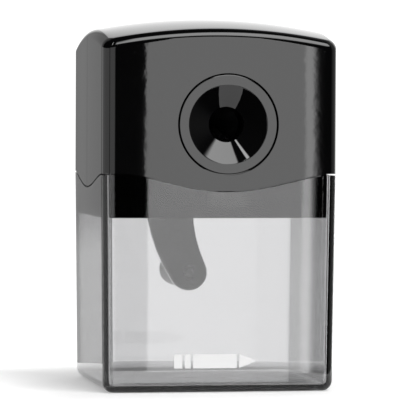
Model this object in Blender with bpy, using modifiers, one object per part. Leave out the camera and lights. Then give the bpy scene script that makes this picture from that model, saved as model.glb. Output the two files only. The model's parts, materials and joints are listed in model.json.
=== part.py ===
"""A small desk pencil sharpener with a crank, at real size.

The glossy upper housing is a clamshell of two halves that carries the cutting mechanism, and its
skirt plugs into a clear shavings container. X is to the right, Y runs from the pencil hole to the
crank, and Z is up. The origin is in the middle of the container's underside. Sizes are in metres.
"""

import math

import bmesh
import bpy
from mathutils import Matrix, Vector

# Overall body, seen from above: a rounded rectangle whose four faces bow outwards a little
BODY_WIDTH = 0.0570
BODY_DEPTH = 0.0520
BODY_HEIGHT = 0.0902
FRONT_BOW = 0.0004
SIDE_BOW = 0.0003
CORNER_RADIUS = 0.0024
LEAST_CORNER = 0.0004

# Roof: it rises from the four corners to the middle, and its edge is rounded
ROOF_RISE_ACROSS = 0.0030
ROOF_RISE_ALONG = 0.0033
ROOF_EDGE_RADIUS = 0.0022
ROOF_RINGS = (0.8, 0.5, 0.25)
HOUSING_WALL = 0.0020

# The pencil and the mechanism sit a little to the right of the body's middle
AXIS_X = 0.0017

# Heights that hang from the roof, so that a taller body only has a taller container
AXIS_BELOW_TOP = 0.0260
SEAM_BELOW_TOP = 0.0378
SKIRT_BELOW_SEAM = 0.0106
FRONT_DIP = 0.0040
SIDE_DIP = 0.0034
DIP_REACH = 0.0248
DIP_SHARPNESS = 1.45
SEAM_GAP = 0.00035

# Clear container
CONTAINER_WALL = 0.0018
CONTAINER_FLOOR = 0.0020
CONTAINER_EDGE_RADIUS = 0.0029
CONTAINER_DRAFT = 0.0006

# Skirt and the four latches that locate it in the container
SKIRT_CLEARANCE = 0.00035
SKIRT_WALL = 0.0015
SHELF_ABOVE_SEAM = 0.0012
LATCH_WIDTH = 0.0093
LATCH_PROUD = 0.00055
LATCH_ABOVE_SKIRT = 0.0042
LATCH_HEIGHT = 0.0030
CHANNEL_DEPTH = 0.0007
CHANNEL_GAP = 0.0003

# Gaps: between pieces that touch, and round what turns; and how far a cutter overshoots
FIT = 0.0003
RUNNING = 0.0001
OVERSHOOT = 0.0008

# Pencil and cutting geometry
PENCIL_BORE_RADIUS = 0.0043
PENCIL_RADIUS = 0.0040
CONE_HALF_ANGLE = math.radians(11.0)
CUTTER_RADIUS = 0.0040
CUTTER_LENGTH = 0.0200
CUTTER_FLUTES = 12
FLUTE_DEPTH = 0.0007
CUTTER_TWIST = math.radians(100.0)
CUTTER_SWEEP_GAP = 0.0011
CUTTER_PIN_RADIUS = 0.00125
CUTTER_PIN_FRONT = 0.0022
CUTTER_PIN_REAR = 0.0026
CUTTER_WASHER_RADIUS = 0.0024
CUTTER_WASHER_THICKNESS = 0.0004

# Bevel gears that turn the cutter: a pinion rolls inside a fixed ring
RING_TEETH = 40
PINION_TEETH = 12
PINION_WIDTH = 0.0030
TOOTH_REACH = 0.00042
TOOTH_ROOT = 0.00072
ROOT_SHARE = 0.56
TIP_SHARE = 0.22
RING_WALL = 0.0014
LUG_RADIUS = 0.0035
LUG_THICKNESS = 0.0030

# Pencil guide, the funnel in the front wall
GUIDE_FLANGE_RADIUS = 0.0119
GUIDE_FLANGE_THICKNESS = 0.0009
GUIDE_SET_BACK = 0.00015
GUIDE_NECK_RADIUS = 0.0107
GUIDE_TUBE_RADIUS = 0.0062
FUNNEL_RIM_RADIUS = 0.0097
FUNNEL_DEPTH = 0.0031

# Frame that hangs from the roof and holds the guide, the ring gear and the rear bush
FRAME_THICKNESS = 0.0022
FRAME_HALF_WIDTH = 0.0120
FRAME_CLEAR_OF_RING = 0.0006
REAR_EYE_RADIUS = 0.0080
FRAME_SCREW_X = 0.0080
FRAME_SCREW_Y = 0.0090
BOSS_RADIUS = 0.0030

# Carrier that turns the cutter round the pencil
CARRIER_PLATE_THICKNESS = 0.0031
CARRIER_PLATE_RIM = 0.0014
CARRIER_SLEEVE_WALL = 0.0013
CARRIER_PENCIL_GAP = 0.00035
CARRIER_END_WALL = 0.0010
CARRIER_END_RADIUS = 0.0088
CARRIER_HUB_RADIUS = 0.0050
CARRIER_HUB_LENGTH = 0.0035
CARRIER_END_GAP = 0.0006

# Crank shaft, its bush, clip and washer
SHAFT_RADIUS = 0.0030
DRIVE_SQUARE = 0.0031
ARM_SQUARE = 0.0040
CLIP_THICKNESS = 0.0006
CLIP_RADIUS = 0.0046
CLIP_GROOVE_DEPTH = 0.0007
CLIP_MOUTH_SHARE = 0.7
BUSH_WALL = 0.0019
BUSH_FLANGE_RADIUS = 0.0075
BUSH_FLANGE_THICKNESS = 0.0013
SHAFT_WASHER_THICKNESS = 0.0005
SHAFT_WASHER_RADIUS = 0.0052

# Crank arm and knob
CRANK_RADIUS = 0.0380
ARM_THICKNESS = 0.0050
ARM_HUB_RADIUS = 0.0075
ARM_END_RADIUS = 0.0047
ARM_BOW = 0.0050
ARM_WEB = 0.0010
ARM_EDGE = 0.0011
KNOB_LENGTH = 0.0180
KNOB_BASE_RADIUS = 0.0038
KNOB_END_RADIUS = 0.0043
KNOB_EDGE = 0.0010
KNOB_PIN_RADIUS = 0.0016
KNOB_PIN_HEAD_RADIUS = 0.0026
KNOB_PIN_HEAD_THICKNESS = 0.0014
KNOB_RECESS = 0.0022

# Fasteners
SCREW_RADIUS = 0.00105
SCREW_HEAD_RADIUS = 0.0023
SCREW_HEAD_THICKNESS = 0.0015
SCREW_SLOT = 0.0007
FRAME_SCREW_GRIP = 0.0024
CRANK_SCREW_RADIUS = 0.0010
CRANK_SCREW_HEAD_RADIUS = 0.0031
CRANK_SCREW_GRIP = 0.0046

# Steps round each turn
FACE_STEPS = 20
SIDE_STEPS = 12
CORNER_STEPS = 4
EDGE_STEPS = 3
ARM_STEPS = 10
CUTTER_STEPS = 10
ROUND_STEPS = 48
SMALL_STEPS = 24
BOLT_STEPS = 14

# Places that follow from the body
HALF_WIDTH = BODY_WIDTH / 2
HALF_DEPTH = BODY_DEPTH / 2
ROOF_CORNER_Z = BODY_HEIGHT - ROOF_RISE_ACROSS - ROOF_RISE_ALONG
AXIS_Z = BODY_HEIGHT - AXIS_BELOW_TOP
SEAM_Z = BODY_HEIGHT - SEAM_BELOW_TOP
SKIRT_Z = SEAM_Z - SKIRT_BELOW_SEAM
SHELF_Z = SEAM_Z + SHELF_ABOVE_SEAM
LATCH_Z = SKIRT_Z + LATCH_ABOVE_SKIRT
SKIRT_INSET = CONTAINER_WALL + SKIRT_CLEARANCE
FRONT_Y = -(HALF_DEPTH + FRONT_BOW)
REAR_Y = HALF_DEPTH + FRONT_BOW

# Places along the pencil's axis, from the front wall back to the cutter
FRAME_FRONT_Y = -HALF_DEPTH + SKIRT_INSET + SKIRT_WALL + FIT
FRAME_LEG_REAR_Y = FRAME_FRONT_Y + FRAME_THICKNESS
RING_FRONT_Y = FRAME_LEG_REAR_Y + FIT
CARRIER_FRONT_Y = RING_FRONT_Y + CARRIER_END_GAP
PLATE_REAR_Y = CARRIER_FRONT_Y + CARRIER_PLATE_THICKNESS

# The cutter's axis leans with the pencil's cone; s is the distance along it from the cutter's front face
COS_CONE = math.cos(CONE_HALF_ANGLE)
SIN_CONE = math.sin(CONE_HALF_ANGLE)
PINION_REAR_S = -FIT
PINION_FRONT_S = PINION_REAR_S - PINION_WIDTH
FRONT_WASHER_S = PINION_FRONT_S - FIT - CUTTER_WASHER_THICKNESS
FRONT_SEAT_S = FRONT_WASHER_S - FIT
REAR_WASHER_S = CUTTER_LENGTH + FIT
REAR_SEAT_S = REAR_WASHER_S + CUTTER_WASHER_THICKNESS + FIT
SWEEP_RADIUS = CUTTER_RADIUS + CUTTER_SWEEP_GAP
CONE_START_Y = PLATE_REAR_Y - FRONT_SEAT_S * COS_CONE
AXIS_OFFSET = PENCIL_RADIUS + CUTTER_RADIUS / COS_CONE
APEX_Y = CONE_START_Y + AXIS_OFFSET / math.tan(CONE_HALF_ANGLE)
APEX_S = AXIS_OFFSET / SIN_CONE

# The two pitch cones share the apex where the cutter's axis meets the pencil's
PINION_CONE = math.atan(SIN_CONE / (RING_TEETH / PINION_TEETH - COS_CONE))
RING_CONE = PINION_CONE + CONE_HALF_ANGLE
PINION_MIDDLE_S = (PINION_FRONT_S + PINION_REAR_S) / 2
PINION_PITCH = (APEX_S - PINION_MIDDLE_S) * math.tan(PINION_CONE)
MESH_Y = CONE_START_Y + PINION_MIDDLE_S * COS_CONE + PINION_PITCH * SIN_CONE
RING_PITCH = (APEX_Y - MESH_Y) * math.tan(RING_CONE)
PLATE_RADIUS = (
    (APEX_Y - CARRIER_FRONT_Y) * math.tan(CONE_HALF_ANGLE) + CUTTER_PIN_RADIUS + CARRIER_PLATE_RIM
)
TEETH_FRONT_Y = PLATE_REAR_Y - FIT
RING_REAR_Y = CONE_START_Y + CUTTER_RADIUS * SIN_CONE - FIT
RING_RADIUS = (RING_PITCH + TOOTH_ROOT) * (APEX_Y - TEETH_FRONT_Y) / (APEX_Y - MESH_Y) + RING_WALL
LUG_X = RING_RADIUS + SCREW_HEAD_RADIUS + FIT
LUG_REAR_Y = RING_FRONT_Y + LUG_THICKNESS

# Places along the pencil's axis, from the cutter back to the knob's end
CARRIER_END_Y = CONE_START_Y + REAR_SEAT_S * COS_CONE - SWEEP_RADIUS * SIN_CONE
HUB_FRONT_Y = (
    CONE_START_Y
    + (REAR_SEAT_S + CUTTER_PIN_REAR + FIT) * COS_CONE
    + CUTTER_PIN_RADIUS * SIN_CONE
    + CARRIER_END_WALL
)
HUB_REAR_Y = HUB_FRONT_Y + CARRIER_HUB_LENGTH
CLIP_FRONT_Y = HUB_REAR_Y + FIT
CLIP_REAR_Y = CLIP_FRONT_Y + CLIP_THICKNESS
BUSH_FRONT_Y = CLIP_REAR_Y + FIT
REAR_LEG_Y = BUSH_FRONT_Y + FIT
FRAME_REAR_Y = REAR_LEG_Y + FRAME_THICKNESS
BUSH_FLANGE_Y = REAR_Y + FIT
BUSH_REAR_Y = BUSH_FLANGE_Y + BUSH_FLANGE_THICKNESS
SHAFT_WASHER_Y = BUSH_REAR_Y + FIT
ARM_FRONT_Y = SHAFT_WASHER_Y + SHAFT_WASHER_THICKNESS + FIT
ARM_REAR_Y = ARM_FRONT_Y + ARM_THICKNESS
ARM_RECESS_Y = ARM_REAR_Y - SCREW_HEAD_THICKNESS - 2 * FIT
ARM_WEB_Y = ARM_RECESS_Y - ARM_WEB
KNOB_FRONT_Y = ARM_REAR_Y + FIT
KNOB_REAR_Y = KNOB_FRONT_Y + KNOB_LENGTH
KNOB_RECESS_Y = KNOB_REAR_Y - KNOB_RECESS

BUSH_RADIUS = SHAFT_RADIUS + RUNNING + BUSH_WALL
BRIDGE_BOTTOM_Z = AXIS_Z + RING_RADIUS + FRAME_CLEAR_OF_RING
BRIDGE_TOP_Z = BRIDGE_BOTTOM_Z + FRAME_THICKNESS
BOSS_Z = BRIDGE_TOP_Z + FIT

# Local frames: local Z runs along +Y for pieces on the crank's axis and the knob's, and local Y
# points down; on the cutter's axis, local Z leans with the cone
FACING_BACK = Matrix.Rotation(-math.pi / 2, 4, "X")
FACING_FRONT = Matrix.Rotation(math.pi / 2, 4, "X")
BESIDE_MIDDLE = Matrix.Translation((AXIS_X, 0, 0))
ON_CRANK = Matrix.Translation((AXIS_X, 0, AXIS_Z)) @ FACING_BACK
ON_KNOB = Matrix.Translation((AXIS_X, 0, AXIS_Z - CRANK_RADIUS)) @ FACING_BACK
LEANING = Matrix.Rotation(CONE_HALF_ANGLE - math.pi / 2, 4, "X")
ON_CUTTER = Matrix.Translation((AXIS_X, CONE_START_Y, AXIS_Z - AXIS_OFFSET)) @ LEANING


# Building blocks


def clear_scene():
    for obj in list(bpy.data.objects):
        bpy.data.objects.remove(obj)


def new_collection(name, shown):
    collection = bpy.data.collections.new(name)
    bpy.context.scene.collection.children.link(collection)
    collection.hide_render = not shown
    return collection


def material(name, colour, roughness, metallic=0.0, alpha=1.0):
    made = bpy.data.materials.new(name)
    made.use_nodes = True
    shader = made.node_tree.nodes["Principled BSDF"]
    shader.inputs["Base Color"].default_value = (*colour, 1.0)
    shader.inputs["Roughness"].default_value = roughness
    shader.inputs["Metallic"].default_value = metallic
    shader.inputs["Alpha"].default_value = alpha
    return made


clear_scene()
PARTS = new_collection("pencil_sharpener", True)
CUTTERS = new_collection("cutters", False)
GLOSS_BLACK = material("gloss_black", (0.012, 0.012, 0.013), 0.12)
SMOKE_CLEAR = material("smoke_clear", (0.45, 0.46, 0.47), 0.05, alpha=0.35)
MATT_BLACK = material("matt_black", (0.03, 0.03, 0.032), 0.5)
GREY_PLASTIC = material("grey_plastic", (0.55, 0.55, 0.55), 0.4)
WHITE_PLASTIC = material("white_plastic", (0.75, 0.74, 0.70), 0.5)
STEEL = material("steel", (0.55, 0.55, 0.56), 0.3, metallic=1.0)
BRONZE = material("bronze", (0.55, 0.38, 0.20), 0.4, metallic=1.0)


def place_object(name, mesh, surface, place):
    """Adds a mesh as a part, or as a hidden cutter when it has no surface material."""
    made = bpy.data.objects.new(name, mesh)
    made.matrix_world = place
    if surface is None:
        CUTTERS.objects.link(made)
        made.hide_render = True
        made.display_type = "WIRE"
    else:
        PARTS.objects.link(made)
        mesh.materials.append(surface)
    return made


def from_bmesh(name, shape, surface, place):
    bmesh.ops.recalc_face_normals(shape, faces=shape.faces)
    mesh = bpy.data.meshes.new(name)
    shape.to_mesh(mesh)
    shape.free()
    mesh.shade_smooth()
    mesh.set_sharp_from_angle(angle=math.radians(35))
    return place_object(name, mesh, surface, place)


def turned(name, profile, surface, place=ON_CRANK, steps=ROUND_STEPS):
    """Spins (radius, height) points about local Z. They run down the outer side."""
    points = [(radius, 0, height) for radius, height in profile]
    edges = [(i, i + 1) for i in range(len(points) - 1)]
    if profile[0][0] > 0:
        edges.append((len(points) - 1, 0))
    mesh = bpy.data.meshes.new(name)
    mesh.from_pydata(points, edges, [])
    made = place_object(name, mesh, surface, place)
    spin = made.modifiers.new("spin", "SCREW")
    spin.steps = spin.render_steps = steps
    spin.use_merge_vertices = True
    spin.merge_threshold = 0.00001
    return made


def tube(name, inner, outer, low, high, surface, place=ON_CRANK, steps=SMALL_STEPS):
    profile = [(inner, high), (outer, high), (outer, low), (inner, low)]
    return turned(name, profile, surface, place, steps)


def rod(name, radius, low, high, surface=None, place=ON_CRANK, steps=SMALL_STEPS):
    shape = bmesh.new()
    bmesh.ops.create_cone(
        shape,
        cap_ends=True,
        segments=steps,
        radius1=radius,
        radius2=radius,
        depth=high - low,
        matrix=Matrix.Translation((0, 0, (low + high) / 2)),
    )
    return from_bmesh(name, shape, surface, place)


def block(name, low, high, place=Matrix()):
    """A box between two corners, as a cutter or an addition."""
    shape = bmesh.new()
    low, high = Vector(low), Vector(high)
    middle, size = (low + high) / 2, high - low
    bmesh.ops.create_cube(shape, matrix=Matrix.Translation(middle) @ Matrix.Diagonal((*size, 1)))
    return from_bmesh(name, shape, None, place)


def loft(name, rings, surface, place=Matrix()):
    """Skins rings of equal count, and closes each end with a fan to its middle."""
    shape = bmesh.new()
    loops = [[shape.verts.new(point) for point in ring] for ring in rings]
    for lower, upper in zip(loops, loops[1:]):
        for i in range(len(lower)):
            shape.faces.new((lower[i - 1], lower[i], upper[i], upper[i - 1]))
    for loop in (loops[0], loops[-1]):
        middle = shape.verts.new(sum((vert.co for vert in loop), Vector()) / len(loop))
        for i in range(len(loop)):
            shape.faces.new((loop[i - 1], loop[i], middle))
    return from_bmesh(name, shape, surface, place)


def combine(target, tool, operation):
    modifier = target.modifiers.new(tool.name, "BOOLEAN")
    modifier.operation = operation
    modifier.object = tool


def cut(target, tool):
    combine(target, tool, "DIFFERENCE")


def join(target, tool):
    combine(target, tool, "UNION")


# Body shape


def outline(inset):
    """Points round the body in plan, each as (x, y, dip), where dip is how far the seam falls there."""
    half_x, half_y = HALF_WIDTH - inset, HALF_DEPTH - inset
    radius = max(CORNER_RADIUS - inset, LEAST_CORNER)
    flat_x, flat_y = half_x - radius, half_y - radius
    quarters = (
        (Vector((0, -half_y)), Vector((flat_x, 0)), FACE_STEPS, FRONT_DIP, (flat_x, -flat_y)),
        (Vector((half_x, 0)), Vector((0, flat_y)), SIDE_STEPS, SIDE_DIP, (flat_x, flat_y)),
        (Vector((0, half_y)), Vector((-flat_x, 0)), FACE_STEPS, FRONT_DIP, (-flat_x, flat_y)),
        (Vector((-half_x, 0)), Vector((0, -flat_y)), SIDE_STEPS, SIDE_DIP, (-flat_x, -flat_y)),
    )
    points = []
    for number, (middle, reach, steps, dip, corner) in enumerate(quarters):
        for i in range(steps + 1):
            x, y = middle + reach * (2 * i / steps - 1)
            away = abs(y) / flat_y if number % 2 else abs(x - AXIS_X) / DIP_REACH
            wave = max(math.cos(math.pi / 2 * min(away, 1)), 0) ** DIP_SHARPNESS
            points.append((x, y, dip * wave))
        for i in range(1, CORNER_STEPS):
            angle = math.pi / 2 * (number - 1 + i / CORNER_STEPS)
            x, y = corner[0] + radius * math.cos(angle), corner[1] + radius * math.sin(angle)
            points.append((x, y, 0.0))
    bow_x, bow_y = SIDE_BOW / half_x, FRONT_BOW / half_y
    return [
        (x * (1 + bow_x * (1 - (y / half_y) ** 2)), y * (1 + bow_y * (1 - (x / half_x) ** 2)), dip)
        for x, y, dip in points
    ]


def level_ring(inset, height):
    return [(x, y, height) for x, y, _ in outline(inset)]


def seam_ring(inset, height):
    return [(x, y, height - dip) for x, y, dip in outline(inset)]


def roof_z(x, y):
    across = ROOF_RISE_ACROSS * (1 - (x / HALF_WIDTH) ** 2)
    along = ROOF_RISE_ALONG * (1 - (y / HALF_DEPTH) ** 2)
    return ROOF_CORNER_Z + across + along


def roof_ring(inset, below=0.0):
    return [(x, y, roof_z(x, y) - below) for x, y, _ in outline(inset)]


def roof_edge_ring(turn):
    """One ring of the rounded roof edge, from the wall at no turn to the roof at a quarter turn."""
    ring = []
    inset = ROOF_EDGE_RADIUS * (1 - math.cos(turn))
    for (x, y, _), (wall_x, wall_y, _) in zip(outline(inset), outline(0.0)):
        wall_top = roof_z(wall_x, wall_y) - ROOF_EDGE_RADIUS
        ring.append((x, y, wall_top + (roof_z(x, y) - wall_top) * math.sin(turn)))
    return ring


def quarter_turns(steps):
    return [math.pi / 2 * i / steps for i in range(steps + 1)]


def latch_frames():
    """A frame for the latch on each of the four faces, with local Y pointing in from outside."""
    reach_y, reach_x = HALF_DEPTH + FRONT_BOW, HALF_WIDTH + SIDE_BOW
    places = ((AXIS_X, -reach_y), (0, -reach_x), (-AXIS_X, -reach_y), (0, -reach_x))
    for turn, (x, y) in enumerate(places):
        yield Matrix.Rotation(turn * math.pi / 2, 4, "Z") @ Matrix.Translation((x, y, 0))


def frame_screw_places(side):
    """The two frame screws of one half: the front half is side -1, and the rear half is side 1."""
    return [(AXIS_X + x, side * FRAME_SCREW_Y) for x in (-FRAME_SCREW_X, FRAME_SCREW_X)]


def housing_half(name, side):
    """One half of the upper housing: side -1 is the front half, and 1 the rear half."""
    least_half = min(HALF_WIDTH, HALF_DEPTH)
    skirt_inner = SKIRT_INSET + SKIRT_WALL
    inner_edge = ROOF_EDGE_RADIUS / 2
    rings = [roof_ring(least_half * share) for share in ROOF_RINGS]
    rings += [roof_edge_ring(turn) for turn in reversed(quarter_turns(EDGE_STEPS))]
    rings += [seam_ring(0.0, SEAM_Z), seam_ring(SKIRT_INSET, SEAM_Z)]
    rings += [level_ring(SKIRT_INSET, SKIRT_Z), level_ring(skirt_inner, SKIRT_Z)]
    rings += [level_ring(skirt_inner, SHELF_Z), level_ring(HOUSING_WALL, SHELF_Z)]
    rings += [roof_ring(HOUSING_WALL, HOUSING_WALL + inner_edge)]
    rings += [roof_ring(HOUSING_WALL + inner_edge, HOUSING_WALL)]
    rings += [roof_ring(least_half * share, HOUSING_WALL) for share in reversed(ROOF_RINGS)]
    housing = loft(name, rings, GLOSS_BLACK)

    for number, place in enumerate(latch_frames()):
        low = (-LATCH_WIDTH / 2, SKIRT_INSET - LATCH_PROUD, LATCH_Z)
        high = (LATCH_WIDTH / 2, SKIRT_INSET + SKIRT_WALL / 2, LATCH_Z + LATCH_HEIGHT)
        join(housing, block(f"{name}_latch_{number}", low, high, place))
    for x, y in frame_screw_places(side):
        upright = Matrix.Translation((x, y, 0))
        top = roof_z(x, y) - HOUSING_WALL / 2
        join(housing, rod(f"{name}_boss", BOSS_RADIUS, BOSS_Z, top, None, upright))
        pilot_top = BOSS_Z + FRAME_SCREW_GRIP
        cut(housing, rod(f"{name}_pilot", SCREW_RADIUS + FIT, 0, pilot_top, None, upright, BOLT_STEPS))
    far = 2 * (HALF_WIDTH + HALF_DEPTH)
    other_half = block(f"{name}_parting", (-far, 0, -far), (far, far, far))
    other_half.location.y = -FIT / 2
    if side > 0:
        other_half.location.y = FIT / 2 - far
    cut(housing, other_half)
    return housing


def front_housing():
    housing = housing_half("front_housing", -1)
    mouth_rear = FRONT_Y + GUIDE_SET_BACK + GUIDE_FLANGE_THICKNESS + FIT
    outside = FRONT_Y - OVERSHOOT
    mouth = rod("guide_mouth", GUIDE_FLANGE_RADIUS + FIT, outside, mouth_rear, steps=ROUND_STEPS)
    throat = rod("guide_throat", GUIDE_NECK_RADIUS + FIT, outside, FRAME_FRONT_Y, steps=ROUND_STEPS)
    cut(housing, mouth)
    cut(housing, throat)


def rear_housing():
    housing = housing_half("rear_housing", 1)
    inside, outside = REAR_Y - HOUSING_WALL - OVERSHOOT, REAR_Y + OVERSHOOT
    cut(housing, rod("bush_hole", BUSH_RADIUS + FIT, inside, outside))


def shavings_container():
    rim_z = SEAM_Z - SEAM_GAP

    def wall_ring(depth, height):
        return level_ring(depth + CONTAINER_DRAFT * (1 - height / rim_z), height)

    def rounded_foot(depth, radius, base):
        """Rings from the floor up to the wall, at this depth inside the outer surface."""
        rings = []
        for turn in quarter_turns(EDGE_STEPS):
            inset = depth + radius * (1 - math.sin(turn))
            rings.append(wall_ring(inset, base + radius * (1 - math.cos(turn))))
        return rings

    outside = rounded_foot(0.0, CONTAINER_EDGE_RADIUS, 0.0)
    inner_radius = CONTAINER_EDGE_RADIUS - CONTAINER_WALL
    inside = rounded_foot(CONTAINER_WALL, inner_radius, CONTAINER_FLOOR)
    rim = [seam_ring(0.0, rim_z), seam_ring(CONTAINER_WALL, rim_z)]
    container = loft("shavings_container", outside + rim + inside[::-1], SMOKE_CLEAR)
    for number, place in enumerate(latch_frames()):
        half = LATCH_WIDTH / 2 + CHANNEL_GAP
        low = (-half, CONTAINER_WALL - CHANNEL_DEPTH, LATCH_Z - CHANNEL_GAP)
        high = (half, CONTAINER_WALL + CONTAINER_DRAFT + OVERSHOOT, SEAM_Z + OVERSHOOT)
        cut(container, block(f"latch_channel_{number}", low, high, place))


# Pencil guide and frame


def pencil_guide():
    face = FRONT_Y + GUIDE_SET_BACK
    flange_rear = face + GUIDE_FLANGE_THICKNESS
    step = CARRIER_FRONT_Y - FIT
    end = PLATE_REAR_Y - FIT
    profile = [
        (PENCIL_BORE_RADIUS, end),
        (GUIDE_TUBE_RADIUS, end),
        (GUIDE_TUBE_RADIUS, step),
        (GUIDE_NECK_RADIUS, FRAME_LEG_REAR_Y),
        (GUIDE_NECK_RADIUS, flange_rear),
        (GUIDE_FLANGE_RADIUS, flange_rear),
        (GUIDE_FLANGE_RADIUS, face),
        (FUNNEL_RIM_RADIUS, face),
        (PENCIL_BORE_RADIUS, face + FUNNEL_DEPTH),
    ]
    turned("pencil_guide", profile, GLOSS_BLACK)


def lug_frames():
    for side in (-1, 1):
        yield Matrix.Translation((side * LUG_X, 0, 0)) @ ON_CRANK


def add_lugs(target, front, rear):
    """Two screw lugs, one on each side of a disc on the pencil's axis."""
    for number, place in enumerate(lug_frames(), 1):
        join(target, rod(f"{target.name}_lug_{number}", LUG_RADIUS, front, rear, None, place))
    for number, place in enumerate(lug_frames(), 1):
        name = f"{target.name}_lug_hole_{number}"
        hole = rod(name, SCREW_RADIUS + FIT, front - OVERSHOOT, rear + OVERSHOOT, None, place, BOLT_STEPS)
        cut(target, hole)


def mechanism_frame():
    """A disc behind the front wall, a bridge over the gears, and an eye at the rear for the bush."""
    half, inset = FRAME_HALF_WIDTH, FIT / 2
    frame = rod(
        "mechanism_frame", RING_RADIUS, FRAME_FRONT_Y, FRAME_LEG_REAR_Y, MATT_BLACK, steps=ROUND_STEPS
    )
    front_low = (-half, FRAME_FRONT_Y + inset, AXIS_Z + RING_RADIUS / 2)
    front_high = (half, FRAME_LEG_REAR_Y - inset, BRIDGE_TOP_Z - inset)
    bridge_low = (-half - inset, FRAME_FRONT_Y - inset / 2, BRIDGE_BOTTOM_Z)
    bridge_high = (half + inset, FRAME_REAR_Y, BRIDGE_TOP_Z)
    rear_low = (-REAR_EYE_RADIUS, REAR_LEG_Y, AXIS_Z)
    rear_high = (REAR_EYE_RADIUS, FRAME_REAR_Y - inset, BRIDGE_TOP_Z - inset)
    join(frame, block("frame_front_post", front_low, front_high, BESIDE_MIDDLE))
    join(frame, block("frame_bridge", bridge_low, bridge_high, BESIDE_MIDDLE))
    join(frame, block("frame_rear_post", rear_low, rear_high, BESIDE_MIDDLE))
    join(frame, rod("frame_eye", REAR_EYE_RADIUS, REAR_LEG_Y - inset / 2, FRAME_REAR_Y - inset / 2))
    front, rear = FRAME_FRONT_Y - OVERSHOOT, FRAME_LEG_REAR_Y + OVERSHOOT
    cut(frame, rod("neck_hole", GUIDE_NECK_RADIUS + FIT, front, rear, steps=ROUND_STEPS))
    cut(frame, rod("eye_hole", BUSH_RADIUS + FIT, REAR_LEG_Y - OVERSHOOT, FRAME_REAR_Y + OVERSHOOT))
    add_lugs(frame, FRAME_FRONT_Y + inset, FRAME_LEG_REAR_Y - inset)
    low, high = BRIDGE_BOTTOM_Z - OVERSHOOT, BRIDGE_TOP_Z + OVERSHOOT
    for x, y in frame_screw_places(-1) + frame_screw_places(1):
        upright = Matrix.Translation((x, y, 0))
        cut(frame, rod("bridge_hole", SCREW_RADIUS + FIT, low, high, None, upright, BOLT_STEPS))


# Gears and cutter


def toothed(teeth, inner, outer, inner_share, outer_share):
    """A star outline. Each tooth takes inner_share of its pitch at its foot and outer_share at its tip."""
    corners = ((inner, -inner_share), (outer, -outer_share), (outer, outer_share), (inner, inner_share))
    points = []
    for tooth in range(teeth):
        for radius, share in corners:
            angle = math.pi / 2 + 2 * math.pi * (tooth + share / 2) / teeth
            points.append((radius * math.cos(angle), radius * math.sin(angle)))
    return points


def tapered(star, apex, middle, heights):
    """Rings of a star that shrinks towards the gear's apex, at each height."""
    rings = []
    for height in heights:
        scale = (apex - height) / (apex - middle)
        rings.append([(x * scale, y * scale, height) for x, y in star])
    return rings


def bore_for_pin(target, low, high):
    bore = CUTTER_PIN_RADIUS + RUNNING
    name = f"{target.name}_bore"
    cut(target, rod(name, bore, low - OVERSHOOT, high + OVERSHOOT, None, ON_CUTTER))


def ring_gear():
    ring = rod("ring_gear", RING_RADIUS, RING_FRONT_Y, RING_REAR_Y, WHITE_PLASTIC, steps=ROUND_STEPS)
    add_lugs(ring, RING_FRONT_Y + FIT / 2, LUG_REAR_Y)
    front, rear = RING_FRONT_Y - OVERSHOOT, RING_REAR_Y + OVERSHOOT
    cut(ring, rod("ring_bore", PLATE_RADIUS + FIT, front, rear, steps=ROUND_STEPS))
    # What is cut away between the ring's teeth is itself a star, wide at the tooth tips
    gaps = toothed(
        RING_TEETH, RING_PITCH - TOOTH_REACH, RING_PITCH + TOOTH_ROOT, 1 - TIP_SHARE, 1 - ROOT_SHARE
    )
    cut(ring, loft("tooth_gaps", tapered(gaps, APEX_Y, MESH_Y, (TEETH_FRONT_Y, rear)), None, ON_CRANK))


def cutter_pinion():
    star = toothed(
        PINION_TEETH, PINION_PITCH - TOOTH_ROOT, PINION_PITCH + TOOTH_REACH, ROOT_SHARE, TIP_SHARE
    )
    rings = tapered(star, APEX_S, PINION_MIDDLE_S, (PINION_FRONT_S, PINION_REAR_S))
    pinion = loft("cutter_pinion", rings, STEEL, ON_CUTTER)
    bore_for_pin(pinion, PINION_FRONT_S, PINION_REAR_S)


def helical_cutter():
    """A milling cutter whose saw-shaped flutes wind round it, with a bore for its pin."""
    flute = ((0.0, 0.0), (0.18, FLUTE_DEPTH), (0.6, FLUTE_DEPTH * 0.6))

    def section(height, twist):
        ring = []
        for number in range(CUTTER_FLUTES):
            for share, depth in flute:
                angle = 2 * math.pi * (number + share) / CUTTER_FLUTES + twist
                radius = CUTTER_RADIUS - depth
                ring.append((radius * math.cos(angle), radius * math.sin(angle), height))
        return ring

    shares = [i / CUTTER_STEPS for i in range(CUTTER_STEPS + 1)]
    rings = [section(CUTTER_LENGTH * share, CUTTER_TWIST * share) for share in shares]
    cutter = loft("helical_cutter", rings, STEEL, ON_CUTTER)
    bore_for_pin(cutter, 0.0, CUTTER_LENGTH)


def cutter_pin_and_washers():
    low, high = FRONT_SEAT_S - CUTTER_PIN_FRONT, REAR_SEAT_S + CUTTER_PIN_REAR
    rod("cutter_pin", CUTTER_PIN_RADIUS, low, high, STEEL, ON_CUTTER)
    inner, outer = CUTTER_PIN_RADIUS + RUNNING, CUTTER_WASHER_RADIUS
    for name, low in (("cutter_washer_front", FRONT_WASHER_S), ("cutter_washer_rear", REAR_WASHER_S)):
        tube(name, inner, outer, low, low + CUTTER_WASHER_THICKNESS, BRONZE, ON_CUTTER)


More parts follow.
